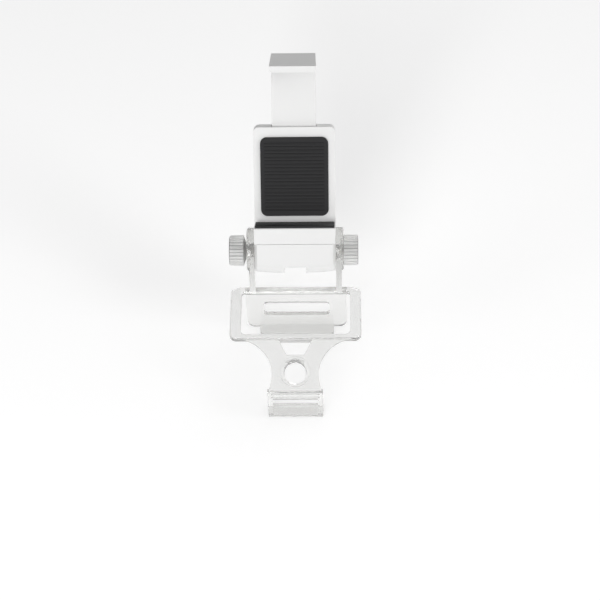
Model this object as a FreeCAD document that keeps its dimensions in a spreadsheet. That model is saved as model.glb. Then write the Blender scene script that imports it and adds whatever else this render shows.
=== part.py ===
import FreeCAD, Part

import math
import os
import re

import Sketcher

# A clear hook-on bracket with two ears, and a white spring clamp hinged between the ears.
# Frame: origin in the middle of the bracket's window, on the frame's underside. +X right,
# +Y away from the user, +Z up from the frame. The clamp's pieces are drawn upright about the
# hinge line, front towards -Y, and leaned back together.

DRIVING_SIZES = {
    # bracket, frame
    "plate": 2.0, "frame_wide": 59.3, "side_bar": 5.1, "window_deep": 23.2,
    "rear_bar": 3.2, "front_bar": 3.4, "corner_run": 4.4, "corner_drop": 1.7,
    "frame_corner": 3.2, "window_rear_corner": 1.0, "window_front_corner": 2.4,
    "edge_round": 0.5, "window_edge": 0.9,
    # bracket, sloped stem between the round cut-outs
    "past": 1.0, "slope": 20.0, "stick_apart": 54.0, "stick_radius": 16.5, "stick_rise": 0.02,
    "arc_down": 20.0, "stem_long": 25.0, "stem_end_wide": 23.6,
    "trap_start": 0.4, "trap_deep": 7.0, "trap_far_wide": 15.2, "trap_near_wide": 7.6,
    "trap_draft": 1.0, "button_down": 15.45, "button_bore": 9.5, "dish_rim": 1.45,
    "collar_rim": 0.7, "collar_high": 1.2,
    # bracket, front hook
    "hook_side": 0.6, "hook_high": 19.6, "hook_wall": 1.8, "hook_post": 2.35,
    "hook_window_down": 5.9, "hook_foot": 1.8, "hook_lip": 6.0, "lip_bead": 0.8,
    "hook_corner": 0.6, "grip_high": 0.6, "grip_deep": 0.45, "grip_down": 1.4,
    "grip_pitch": 2.35, "grip_end": 1.6,
    # bracket, rear wall
    "rear_side": 1.4, "rear_high": 26.0, "rear_wall": 2.0, "rear_corner": 4.0,
    "rear_post": 8.0, "rear_window_high": 9.0, "rear_window_down": 8.0,
    "rear_lip": 5.5, "rear_lip_inset": 6.0,
    # bracket, ears
    "pivot_back": 23.1, "pivot_up": 17.9, "ear_play": 0.15, "ear_thick": 2.6,
    "ear_boss": 0.8, "ear_radius": 9.85, "ear_head_back": 0.43, "ear_head_rise": 0.34,
    "ear_front": 12.0, "ear_foot": 1.0,
    "ear_rear_drop": 2.5, "seat_step": 0.4, "seat_throat": 5.5,
    "seat_deep": 1.5,
    # clamp, lower block and housing
    "lean": 36.0, "clamp_wide": 36.5, "block_front": 8.3, "block_bottom": 9.3,
    "shelf_top": 12.2, "block_round": 4.0, "bottom_bow": 0.8, "notch_wide": 9.9,
    "notch_deep": 3.3, "housing_front": 0.7, "front_wall": 1.6, "cavity_deep": 4.6,
    "housing_top": 56.4, "top_wall": 6.0, "side_wall": 1.6, "cavity_floor": 6.0,
    "housing_corner": 2.5, "soft_edge": 0.6, "cap_top": 4.75, "cap_thick": 2.5,
    "fit_gap": 0.15, "cover_thick": 1.6, "cover_bottom": 0.6,
    # clamp, slider with the upper jaw
    "opening": 70.9, "slider_long": 62.9, "stem_inset": 8.45, "slide_side": 0.3,
    "slide_play": 0.3, "wing_gap": 0.85, "wing_high": 4.0, "jaw_flare": 0.5,
    "jaw_root": 3.65, "jaw_tip": 0.6, "jaw_lip": 2.2, "lip_thick": 2.1,
    "lip_back": 8.5, "lip_corner": 1.3,
    # pads
    "shelf_pad": 1.0, "jaw_pad": 0.8, "back_pad": 1.0, "pad_inset": 0.5,
    "back_pad_side": 3.05, "back_pad_high": 36.0, "back_pad_low": 16.0, "pad_corner": 3.0,
    # springs and guide rods
    "rod_wide": 2.0, "rod_inset": 5.05, "rod_room": 0.3, "rod_foot": 1.5, "rod_top": 1.6,
    "spring_wide": 4.2, "spring_wire": 0.5,
    # knobs, studs, nuts, washers
    "stud_wide": 4.0, "stud_in": 7.55, "stud_edge": 0.4, "hole_room": 0.15, "head_wide": 6.6,
    "head_high": 2.1, "head_edge": 0.3, "turn_gap": 0.06,
    "knob_wide": 14.0, "knob_long": 6.55, "knob_taper": 0.15, "knob_edge": 0.5,
    "knob_face_gap": 0.1, "cone_gap": 0.12, "rib_count": 26.0, "rib_deep": 0.45,
    "rib_gap": 0.9, "loosened": 1.35, "nut_flats": 7.0, "nut_high": 3.2, "nut_cover": 1.95,
    "nut_room": 0.1, "washer_wide": 11.0, "washer_hole": 5.0, "washer_high": 0.95,
    "washer_sink": 0.85, "washer_room": 0.1,
    # rear cover screws
    "screw_wide": 2.0, "screw_head": 4.0, "screw_long": 6.0, "screw_sink": 1.1,
    "screw_low": 3.2, "screw_down": 2.4, "screw_low_inset": 9.05, "screw_high_inset": 4.05,
    "screw_room": 0.05,
}

# sizes that follow the ones above, so that pieces that fit together stay together
FOLLOWING_SIZES = {
    "stick_down": "stick_radius - stick_rise",
    "seat_wide": "knob_wide - 2 * seat_step",
    "window_wide": "frame_wide - 2 * side_bar",
    "hook_wide": "stem_end_wide + 2 * hook_side",
    "hook_window_wide": "hook_wide - 2 * hook_post",
    "hook_window_high": "hook_high - hook_window_down - hook_foot",
    "grip_wide": "hook_wide - 2 * grip_end",
    "dish_wide": "button_bore + 2 * dish_rim",
    "collar_wide": "dish_wide + 2 * collar_rim",
    "ear_gap": "clamp_wide + 2 * ear_play",
    "rear_wide": "ear_gap + 2 * (ear_thick + ear_boss + rear_side)",
    "rear_window_wide": "rear_wide - 2 * rear_post",
    "rear_lip_wide": "rear_wide - 2 * rear_lip_inset",
    "stud_hole": "stud_wide + 2 * hole_room",
    "stud_tip": "clamp_wide / 2 - stud_in",
    "nut_in": "clamp_wide / 2 - nut_cover - nut_high",
    "back_pad_wide": "clamp_wide - 2 * back_pad_side",
    "stem_wide": "clamp_wide - 2 * stem_inset",
    "stem_thick": "cavity_deep - 2 * slide_play",
    "jaw_wide": "stem_wide + 2 * jaw_flare",
    "wing_span": "clamp_wide - 2 * side_wall - 2 * wing_gap",
    "rod_apart": "clamp_wide - 2 * rod_inset",
    "rod_hole": "rod_wide + 2 * rod_room",
    "rod_low": "cavity_floor - rod_foot",
    "rod_high": "housing_top - top_wall + rod_top",
    "screw_high": "housing_top - screw_down",
    "screw_low_apart": "clamp_wide - 2 * screw_low_inset",
    "screw_high_apart": "clamp_wide - 2 * screw_high_inset",
}

doc = FreeCAD.newDocument("clip")
sheet = doc.addObject("Spreadsheet::Sheet", "sizes")
SIZE_NAMES = {**DRIVING_SIZES, **{alias: "=" + rule for alias, rule in FOLLOWING_SIZES.items()}}
for row, (alias, content) in enumerate(SIZE_NAMES.items(), start=1):
    sheet.set("A%d" % row, alias)
    sheet.set("B%d" % row, str(content))
    sheet.setAlias("B%d" % row, alias)
doc.recompute()

UP = FreeCAD.Vector(0, 0, 1)
FRONT_OF_REAR_WALL = "(window_deep / 2 + rear_bar - rear_wall)"
REAR = "(window_deep / 2 + rear_bar)"
FRONT = "(window_deep / 2 + front_bar)"
HOOK_OUT = "(" + FRONT + " + stem_long * cos(slope))"
STEM_END = "(stem_long - hook_wall / 2 / cos(slope))"
HOOK_TOP = "(plate - " + STEM_END + " * sin(slope))"
EAR_FACE = "(ear_gap / 2 + ear_thick + ear_boss)"
HOUSING_BACK = "(housing_front + front_wall + cavity_deep + cover_thick)"
CAVITY_BACK = "(housing_front + front_wall + cavity_deep)"
CAVITY_FRONT = "(housing_front + front_wall)"
CAVITY_MIDDLE = "(housing_front + front_wall + cavity_deep / 2)"
JAW_LEVEL = "(shelf_top + shelf_pad + opening + jaw_pad)"
WING_LEVEL = "(shelf_top + shelf_pad + opening + jaw_pad - slider_long)"
CAVITY_TOP = "(housing_top - top_wall)"
KNOB_FACE = "(ear_gap / 2 + ear_thick + ear_boss + knob_face_gap)"


def size(rule):
    """the number that a rule of sheet names gives"""
    return float(sheet.evalExpression(rule))


def bound(rule):
    """the rule with every sheet name written as an expression of the document"""
    def qualify(word):
        return "sizes." + word.group() if word.group() in SIZE_NAMES else word.group()
    return re.sub(r"[a-z_]+", qualify, rule)


def new_body(name):
    body = doc.addObject("PartDesign::Body", name)
    body.Label = name
    return body


def settle(feature):
    """recompute, and stop with the feature's name if it failed"""
    doc.recompute()
    if "Invalid" in feature.State or "Error" in feature.State or feature.Shape.isNull():
        raise RuntimeError("failed: " + feature.Name)
    return feature


def origin_feature(body, role):
    return next(item for item in body.Origin.OriginFeatures if item.Role == role)


def attach(item, body, role, across="0", along="0", out="0"):
    """lie on an origin plane, moved in the plane and out along its normal"""
    item.AttachmentSupport = [(origin_feature(body, role), "")]
    item.MapMode = "FlatFace"
    item.setExpression(".AttachmentOffset.Base.x", bound(across))
    item.setExpression(".AttachmentOffset.Base.y", bound(along))
    item.setExpression(".AttachmentOffset.Base.z", bound(out))


def new_sketch(body, name, role, across="0", along="0", out="0"):
    sketch = body.newObject("Sketcher::SketchObject", name)
    attach(sketch, body, role, across, along, out)
    return sketch


def slope_sketch(body, name, above="0"):
    """a sketch on the stem's sloped upper face, its origin on the bend line"""
    sketch = new_sketch(body, name, "XY_Plane")
    tilt = FreeCAD.Rotation(FreeCAD.Vector(1, 0, 0), size("slope"))
    sketch.AttachmentOffset = FreeCAD.Placement(FreeCAD.Vector(), tilt)
    sketch.setExpression(".AttachmentOffset.Rotation.Angle", bound("slope"))
    sketch.setExpression(".AttachmentOffset.Base.x", None)
    sketch.setExpression(
        ".AttachmentOffset.Base.y", bound("-" + FRONT + " - (" + above + ") * sin(slope)"))
    sketch.setExpression(".AttachmentOffset.Base.z", bound("plate + (" + above + ") * cos(slope)"))
    return sketch


def pin(sketch, geometry, end, across, along):
    """hold one point of a sketch at two rules"""
    for kind, rule in (("DistanceX", across), ("DistanceY", along)):
        held = sketch.addConstraint(Sketcher.Constraint(kind, -1, 1, geometry, end, size(rule)))
        label = "%s_%d_%d" % (kind.lower(), geometry, end)
        sketch.renameConstraint(held, label)
        sketch.setExpression("Constraints." + label, bound(rule))


def set_radius(sketch, geometry, rule):
    held = sketch.addConstraint(Sketcher.Constraint("Radius", geometry, size(rule)))
    label = "radius_%d" % geometry
    sketch.renameConstraint(held, label)
    sketch.setExpression("Constraints." + label, bound(rule))


def outline(sketch, corners):
    """a closed outline of straight sides; each corner is a pair of rules"""
    first = sketch.GeometryCount
    spots = [FreeCAD.Vector(size(across), size(along), 0) for across, along in corners]
    count = len(spots)
    for index, spot in enumerate(spots):
        sketch.addGeometry(Part.LineSegment(spot, spots[(index + 1) % count]), False)
    for index in range(count):
        following = first + (index + 1) % count
        sketch.addConstraint(Sketcher.Constraint("Coincident", first + index, 2, following, 1))
    for index, (across, along) in enumerate(corners):
        pin(sketch, first + index, 1, across, along)


def rectangle(sketch, left, right, low, high):
    outline(sketch, [(left, low), (right, low), (right, high), (left, high)])


def circle(sketch, across, along, radius):
    centre = FreeCAD.Vector(size(across), size(along), 0)
    index = sketch.addGeometry(Part.Circle(centre, UP, size(radius)), False)
    pin(sketch, index, 3, across, along)
    set_radius(sketch, index, radius)


def arc(sketch, centre, radius, start, finish):
    """a counter-clockwise arc between two points given in numbers"""
    middle = FreeCAD.Vector(centre[0], centre[1], 0)
    begin = math.atan2(start[1] - centre[1], start[0] - centre[0])
    end = math.atan2(finish[1] - centre[1], finish[0] - centre[0])
    return sketch.addGeometry(Part.ArcOfCircle(Part.Circle(middle, UP, radius), begin, end), False)


def join(sketch, first, first_end, second, second_end):
    sketch.addConstraint(Sketcher.Constraint("Coincident", first, first_end, second, second_end))


def pad(body, name, sketch, length, both=False, back=False):
    feature = body.newObject("PartDesign::Pad", name)
    feature.Profile = sketch
    feature.setExpression("Length", bound(length))
    feature.SideType = "Symmetric" if both else "One side"
    feature.Reversed = back
    return settle(feature)


def pocket(body, name, sketch, length, both=False, back=False):
    before = body.Shape.Volume
    feature = body.newObject("PartDesign::Pocket", name)
    feature.Profile = sketch
    feature.setExpression("Length", bound(length))
    feature.SideType = "Symmetric" if both else "One side"
    feature.Reversed = back
    settle(feature)
    if feature.Shape.Volume > before - 1e-6:
        raise RuntimeError(name + " cuts nothing")
    return feature


def sketch_axis(sketch, across, along):
    """a construction line from the sketch's left to a point, to turn a section about"""
    end = FreeCAD.Vector(size(across), size(along), 0)
    index = sketch.addGeometry(Part.LineSegment(FreeCAD.Vector(0, end.y, 0), end), True)
    pin(sketch, index, 1, "0", along)
    pin(sketch, index, 2, across, along)
    return "Axis0"


def revolve(body, name, sketch, cut=False, axis="V_Axis"):
    feature = body.newObject("PartDesign::Groove" if cut else "PartDesign::Revolution", name)
    feature.Profile = sketch
    feature.ReferenceAxis = (sketch, [axis])
    feature.Angle = 360.0
    return settle(feature)


def edges_where(feature, test):
    return ["Edge%d" % (index + 1) for index, edge in enumerate(feature.Shape.Edges) if test(edge)]


def round_edges(body, name, radius, test, kind="Fillet"):
    """fillet or chamfer the edges of the newest feature that pass the test"""
    base = body.Tip
    feature = body.newObject("PartDesign::" + kind, name)
    feature.Base = (base, edges_where(base, test))
    feature.setExpression("Radius" if kind == "Fillet" else "Size", bound(radius))
    return settle(feature)


def box_of(edge):
    return edge.BoundBox


def runs_along(edge, axis):
    """true for a straight edge parallel to an axis"""
    box = edge.BoundBox
    spans = {"x": box.XLength, "y": box.YLength, "z": box.ZLength}
    return all(span < 1e-4 for name, span in spans.items() if name != axis) and spans[axis] > 1e-3


def near(value, rule):
    return abs(value - size(rule)) < 1e-3


def lean_back(item):
    """put a clamp piece, drawn upright about the hinge line, in its place on the bracket"""
    item.Placement = FreeCAD.Placement(
        FreeCAD.Vector(0, size("pivot_back"), size("pivot_up")),
        FreeCAD.Rotation(FreeCAD.Vector(1, 0, 0), -size("lean")),
    )
    item.setExpression(".Placement.Base.y", bound("pivot_back"))
    item.setExpression(".Placement.Base.z", bound("pivot_up"))
    item.setExpression(".Placement.Rotation.Angle", bound("-lean"))


def turn_out(item, side, shift="0"):
    """put a piece drawn along +Z on the hinge line, pointing out to the right or the left"""
    lean = FreeCAD.Rotation(FreeCAD.Vector(1, 0, 0), -size("lean"))
    outward = FreeCAD.Rotation(FreeCAD.Vector(0, 1, 0), 90.0 * side)
    item.Placement = FreeCAD.Placement(FreeCAD.Vector(), lean.multiply(outward))
    item.setExpression(".Placement.Base.x", bound("%d * (%s)" % (side, shift)))
    item.setExpression(".Placement.Base.y", bound("pivot_back"))
    item.setExpression(".Placement.Base.z", bound("pivot_up"))


def make_frame(body):
    """the flat frame round the touch pad, with its window"""
    sketch = new_sketch(body, "frame_outline", "XY_Plane")
    outline(sketch, [
        ("-frame_wide / 2", "-" + FRONT), ("frame_wide / 2", "-" + FRONT),
        ("frame_wide / 2", REAR + " - corner_drop"), ("frame_wide / 2 - corner_run", REAR),
        ("-frame_wide / 2 + corner_run", REAR), ("-frame_wide / 2", REAR + " - corner_drop"),
    ])
    rectangle(sketch, "-window_wide / 2", "window_wide / 2", "-window_deep / 2", "window_deep / 2")
    pad(body, "frame_plate", sketch, "plate")
    round_edges(body, "frame_corners", "frame_corner", lambda edge: runs_along(edge, "z")
                and near(box_of(edge).YMin, "-" + FRONT))
    round_edges(body, "rear_corners", "frame_corner / 2", lambda edge: runs_along(edge, "z")
                and near(box_of(edge).YMin, REAR + " - corner_drop"))
    for name, radius, rule in (("window_rear_corners", "window_rear_corner", "window_deep / 2"),
                               ("window_front_corners", "window_front_corner", "-window_deep / 2")):
        round_edges(body, name, radius, lambda edge: runs_along(edge, "z")
                    and near(box_of(edge).YMin, rule)
                    and near(abs(box_of(edge).XMin), "window_wide / 2"))
    half = size("window_wide / 2") + 0.01
    deep = size("window_deep / 2") + 0.01
    round_edges(body, "window_edges", "window_edge", lambda edge: near(box_of(edge).ZMin, "plate")
                and max(abs(box_of(edge).XMin), abs(box_of(edge).XMax)) < half
                and max(abs(box_of(edge).YMin), abs(box_of(edge).YMax)) < deep, kind="Chamfer")
    round_edges(body, "frame_edges", "edge_round", lambda edge: near(box_of(edge).ZMin, "plate")
                and not near(box_of(edge).YMin, "-" + FRONT)
                and (box_of(edge).YMax > deep or max(abs(box_of(edge).XMin), box_of(edge).XMax) > half
                     + size("window_edge")), kind="Chamfer")


def make_stem(body):
    """the sloped plate between the two round cut-outs, with its two holes"""
    sketch = slope_sketch(body, "stem_outline")
    arc_start = "(stick_apart / 2 - sqrt(stick_radius^2 - stick_down^2))"
    arc_finish = "(stick_apart / 2 - sqrt(stick_radius^2 - (arc_down - stick_down)^2))"
    centre = size("stick_apart / 2")
    down = size("stick_down")
    radius = size("stick_radius")
    top = size(arc_start)
    low = size(arc_finish)
    arc_low = size("arc_down")
    end = size("stem_end_wide / 2")
    long = size(STEM_END)
    vector = FreeCAD.Vector
    root = sketch.addGeometry(Part.LineSegment(vector(-top, 0, 0), vector(top, 0, 0)), False)
    right_arc = arc(sketch, (centre, -down), radius, (top, 0), (low, -arc_low))
    right_side = sketch.addGeometry(
        Part.LineSegment(vector(low, -arc_low, 0), vector(end, -long, 0)), False)
    foot = sketch.addGeometry(Part.LineSegment(vector(end, -long, 0), vector(-end, -long, 0)), False)
    left_side = sketch.addGeometry(
        Part.LineSegment(vector(-end, -long, 0), vector(-low, -arc_low, 0)), False)
    left_arc = arc(sketch, (-centre, -down), radius, (-low, -arc_low), (-top, 0))
    join(sketch, root, 2, right_arc, 1)
    join(sketch, right_arc, 2, right_side, 1)
    join(sketch, right_side, 2, foot, 1)
    join(sketch, foot, 2, left_side, 1)
    join(sketch, left_side, 2, left_arc, 1)
    join(sketch, left_arc, 2, root, 1)
    pin(sketch, root, 1, "-" + arc_start, "0")
    pin(sketch, root, 2, arc_start, "0")
    pin(sketch, right_side, 1, arc_finish, "-arc_down")
    pin(sketch, right_side, 2, "stem_end_wide / 2", "-" + STEM_END)
    pin(sketch, left_side, 1, "-stem_end_wide / 2", "-" + STEM_END)
    pin(sketch, left_side, 2, "-" + arc_finish, "-arc_down")
    set_radius(sketch, right_arc, "stick_radius")
    set_radius(sketch, left_arc, "stick_radius")
    pad(body, "stem_plate", sketch, "plate", back=True)

    collar = slope_sketch(body, "collar_outline")
    circle(collar, "0", "-button_down", "collar_wide / 2")
    pad(body, "button_collar", collar, "collar_high")


def make_stem_holes(body):
    """the trapezoid window, wider at the top, and the dished round hole"""
    rings = []
    ends = (("trapezoid_upper", "past / 4", "1"), ("trapezoid_lower", "-plate - past / 4", "0"))
    for name, above, wider in ends:
        sketch = slope_sketch(body, name, above)
        spread = "trap_draft * " + wider
        outline(sketch, [
            ("-trap_near_wide / 2", "-trap_start - trap_deep"),
            ("trap_near_wide / 2", "-trap_start - trap_deep"),
            ("trap_far_wide / 2 - trap_draft + " + spread, "-trap_start - trap_draft + " + spread),
            ("-trap_far_wide / 2 + trap_draft - " + spread, "-trap_start - trap_draft + " + spread),
        ])
        rings.append(sketch)
    doc.recompute()
    loft = body.newObject("PartDesign::SubtractiveLoft", "trapezoid_window")
    loft.Profile = rings[0]
    loft.Sections = [rings[1]]
    loft.Ruled = True
    doc.recompute()

    bore = slope_sketch(body, "button_circle")
    circle(bore, "0", "-button_down", "button_bore / 2")
    pocket(body, "button_hole", bore, "4 * plate", both=True)
    dish = body.newObject("PartDesign::SubtractiveCone", "button_dish")
    attach(dish, body, "XY_Plane")
    dish.AttachmentOffset = FreeCAD.Placement(
        FreeCAD.Vector(), FreeCAD.Rotation(FreeCAD.Vector(1, 0, 0), size("slope")))
    dish.setExpression(".AttachmentOffset.Rotation.Angle", bound("slope"))
    deep = "(plate + collar_high)"
    dish.setExpression(".AttachmentOffset.Base.y", bound(
        "-" + FRONT + " - button_down * cos(slope) + plate * sin(slope)"))
    dish.setExpression(".AttachmentOffset.Base.z", bound(
        "plate - button_down * sin(slope) - plate * cos(slope)"))
    dish.setExpression("Radius1", bound("button_bore / 2"))
    dish.setExpression("Radius2", bound("dish_wide / 2"))
    dish.setExpression("Height", bound(deep))
    doc.recompute()


def make_hook(body):
    """the wall at the stem's foot, with its window, grip grooves and the lip below"""
    low = "(" + HOOK_TOP + " - hook_high)"
    wall = new_sketch(body, "hook_outline", "XZ_Plane", out=HOOK_OUT + " - hook_wall")
    rectangle(wall, "-hook_wide / 2", "hook_wide / 2", low, HOOK_TOP)
    pad(body, "hook_wall_plate", wall, "hook_wall")
    lip = new_sketch(body, "hook_lip_outline", "XY_Plane", out=low)
    rectangle(lip, "-hook_wide / 2", "hook_wide / 2", "-" + HOOK_OUT, "-" + HOOK_OUT + " + hook_lip")
    pad(body, "hook_lip_plate", lip, "hook_wall")
    bead = new_sketch(body, "hook_bead_outline", "XY_Plane", out=low + " + hook_wall")
    rectangle(bead, "-hook_wide / 2 + hook_wall", "hook_wide / 2 - hook_wall",
              "-" + HOOK_OUT + " + hook_lip - hook_wall", "-" + HOOK_OUT + " + hook_lip")
    pad(body, "hook_bead", bead, "lip_bead")
    round_edges(body, "hook_edges", "hook_corner", lambda edge: (
        runs_along(edge, "x") and near(box_of(edge).YMin, "-" + HOOK_OUT)
        and (near(box_of(edge).ZMin, HOOK_TOP) or near(box_of(edge).ZMin, low)))
        or (runs_along(edge, "z") and near(box_of(edge).YMin, "-" + HOOK_OUT)
            and near(abs(box_of(edge).XMin), "hook_wide / 2")))
    window = new_sketch(body, "hook_window_outline", "XZ_Plane", out=HOOK_OUT)
    top = "(" + HOOK_TOP + " - hook_window_down)"
    rectangle(window, "-hook_window_wide / 2", "hook_window_wide / 2", top + " - hook_window_high", top)
    pocket(body, "hook_window", window, "hook_wall * 3", both=True)
    for index in range(2):
        groove = new_sketch(body, "grip_outline_%d" % index, "XZ_Plane", out=HOOK_OUT)
        upper = "(" + HOOK_TOP + " - grip_down - %d * grip_pitch)" % index
        rectangle(groove, "-grip_wide / 2", "grip_wide / 2", upper + " - grip_high", upper)
        pocket(body, "grip_groove_%d" % index, groove, "grip_deep")


def make_rear_wall(body):
    """the wall behind, with a wide window, and the lip that goes under the host"""
    wall = new_sketch(body, "rear_outline", "XZ_Plane", out="-" + REAR)
    rectangle(wall, "-rear_wide / 2", "rear_wide / 2", "-rear_high", "plate / 2")
    pad(body, "rear_wall_plate", wall, "rear_wall")
    round_edges(body, "rear_wall_corners", "rear_corner", lambda edge: runs_along(edge, "y")
                and near(box_of(edge).ZMin, "-rear_high"))
    lip = new_sketch(body, "rear_lip_outline", "XY_Plane", out="-rear_high")
    rectangle(lip, "-rear_lip_wide / 2", "rear_lip_wide / 2", REAR + " - rear_wall - rear_lip", REAR)
    pad(body, "rear_lip_plate", lip, "rear_wall")
    round_edges(body, "rear_lip_corners", "rear_wall", lambda edge: runs_along(edge, "z")
                and near(box_of(edge).YMin, REAR + " - rear_wall - rear_lip"))
    window = new_sketch(body, "rear_window_outline", "XZ_Plane", out="-" + REAR)
    rectangle(window, "-rear_window_wide / 2", "rear_window_wide / 2",
              "-rear_window_down - rear_window_high", "-rear_window_down")
    pocket(body, "rear_window", window, "rear_wall * 3", both=True)
    round_edges(body, "rear_window_corners", "rear_wall", lambda edge: runs_along(edge, "y")
                and near(abs(box_of(edge).XMin), "rear_window_wide / 2")
                and box_of(edge).ZMin < -size("rear_window_down") + 0.01)


def make_ears(body):
    """two ears with a thicker round head, a conical seat and a hole for the stud"""
    head_middle = ("pivot_back + ear_head_back", "pivot_up + ear_head_rise")
    sketch = new_sketch(body, "ear_outline", "YZ_Plane", out="ear_gap / 2")
    centre = (size(head_middle[0]), size(head_middle[1]))
    radius = size("ear_radius")
    front = (size("ear_front"), size("ear_foot"))
    rear = (size(REAR), -size("ear_rear_drop"))

    def touch(point, side):
        """where a line from the point touches the head, on its left or right side"""
        run = (centre[0] - point[0], centre[1] - point[1])
        distance = math.hypot(*run)
        length = math.sqrt(distance ** 2 - radius ** 2)
        heading = math.atan2(run[1], run[0]) + side * math.asin(radius / distance)
        return (point[0] + length * math.cos(heading), point[1] + length * math.sin(heading))

    upper = touch(front, 1)
    lower = touch(rear, -1)
    vector = FreeCAD.Vector
    front_side = sketch.addGeometry(Part.LineSegment(vector(*front, 0), vector(*upper, 0)), False)
    head = arc(sketch, centre, radius, lower, upper)
    rear_side = sketch.addGeometry(Part.LineSegment(vector(*lower, 0), vector(*rear, 0)), False)
    inner = (size(FRONT_OF_REAR_WALL + " + rear_wall / 2"), rear[1])
    foot = sketch.addGeometry(Part.LineSegment(vector(*rear, 0), vector(*inner, 0)), False)
    back = sketch.addGeometry(Part.LineSegment(vector(*inner, 0), vector(*front, 0)), False)
    sketch.addConstraint(Sketcher.Constraint("Tangent", front_side, 2, head, 2))
    sketch.addConstraint(Sketcher.Constraint("Tangent", rear_side, 1, head, 1))
    join(sketch, rear_side, 2, foot, 1)
    join(sketch, foot, 2, back, 1)
    join(sketch, back, 2, front_side, 1)
    pin(sketch, head, 3, *head_middle)
    set_radius(sketch, head, "ear_radius")
    pin(sketch, front_side, 1, "ear_front", "ear_foot")
    pin(sketch, foot, 1, REAR, "-ear_rear_drop")
    pin(sketch, foot, 2, FRONT_OF_REAR_WALL + " + rear_wall / 2", "-ear_rear_drop")
    plate = pad(body, "ear_plate", sketch, "ear_thick")

    boss = new_sketch(body, "ear_boss_outline", "YZ_Plane", out="ear_gap / 2 + ear_thick")
    circle(boss, *head_middle, "ear_radius")
    head_boss = pad(body, "ear_boss_disc", boss, "ear_boss")

    hole = new_sketch(body, "ear_hole_outline", "YZ_Plane", out=EAR_FACE)
    circle(hole, "pivot_back", "pivot_up", "stud_hole / 2")
    bore = pocket(body, "ear_hole", hole, "ear_thick + ear_boss")

    section = new_sketch(body, "ear_seat_section", "XZ_Plane", out="-pivot_back")
    outline(section, [
        (EAR_FACE + " - seat_deep", "pivot_up"), (EAR_FACE, "pivot_up"),
        (EAR_FACE, "pivot_up + seat_wide / 2"),
        (EAR_FACE + " - seat_deep", "pivot_up + seat_throat / 2"),
    ])
    axis = sketch_axis(section, EAR_FACE, "pivot_up")
    seat = revolve(body, "ear_seat", section, cut=True, axis=axis)

    mirrored = body.newObject("PartDesign::Mirrored", "ears")
    mirrored.Originals = [plate, head_boss, bore, seat]
    mirrored.MirrorPlane = (origin_feature(body, "YZ_Plane"), [""])
    body.Tip = mirrored
    doc.recompute()
    rim = "ear_gap / 2 + ear_thick + ear_boss"
    round_edges(body, "ear_rims", "edge_round", lambda edge: near(abs(box_of(edge).XMin), rim)
                and near(abs(box_of(edge).XMax), rim)
                and edge.Length > size("seat_wide") * 3.5, kind="Chamfer")


def make_bracket():
    body = new_body("bracket")
    make_frame(body)
    make_stem(body)
    make_hook(body)
    make_rear_wall(body)
    make_stem_holes(body)
    make_ears(body)
    return body


def block_outline(body, top):
    """front view of the white clamp: straight sides and a bottom edge bowed down a little"""
    sketch = new_sketch(body, "front_view", "XZ_Plane", out="block_front")
    half = size("clamp_wide / 2")
    low = -size("block_bottom")
    bow = size("bottom_bow")
    high = size(top)
    radius = (half ** 2 + bow ** 2) / (2 * bow)
    vector = FreeCAD.Vector
    bottom = arc(sketch, (0, low + radius), radius, (-half, low + bow), (half, low + bow))
    right = sketch.addGeometry(
        Part.LineSegment(vector(half, low + bow, 0), vector(half, high, 0)), False)
    upper = sketch.addGeometry(
        Part.LineSegment(vector(half, high, 0), vector(-half, high, 0)), False)
    left = sketch.addGeometry(
        Part.LineSegment(vector(-half, high, 0), vector(-half, low + bow, 0)), False)
    join(sketch, bottom, 2, right, 1)
    join(sketch, right, 2, upper, 1)
    join(sketch, upper, 2, left, 1)
    join(sketch, left, 2, bottom, 1)
    pin(sketch, right, 1, "clamp_wide / 2", "-block_bottom + bottom_bow")
    pin(sketch, right, 2, "clamp_wide / 2", top)
    pin(sketch, left, 1, "-clamp_wide / 2", top)
    pin(sketch, left, 2, "-clamp_wide / 2", "-block_bottom + bottom_bow")
    set_radius(sketch, bottom, "((clamp_wide / 2)^2 + bottom_bow^2) / (2 * bottom_bow)")
    pad(body, "block_stock", sketch, "block_front + " + HOUSING_BACK, back=True)
    round_edges(body, "block_bottom_edges", "block_round", lambda edge: (
        box_of(edge).ZMax < low + bow + 0.01 and box_of(edge).XLength > half))
    notch = new_sketch(body, "notch_outline", "XZ_Plane")
    rectangle(notch, "-notch_wide / 2", "notch_wide / 2",
              "-block_bottom - past", "-block_bottom + notch_deep")
    pocket(body, "lower_notch", notch, "4 * block_front", both=True)


def clear_profile(body, name, corners):
    """take away everything inside a side view, over the whole width"""
    sketch = new_sketch(body, name + "_view", "YZ_Plane")
    outline(sketch, corners)
    pocket(body, name, sketch, "2 * clamp_wide", both=True)


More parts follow.
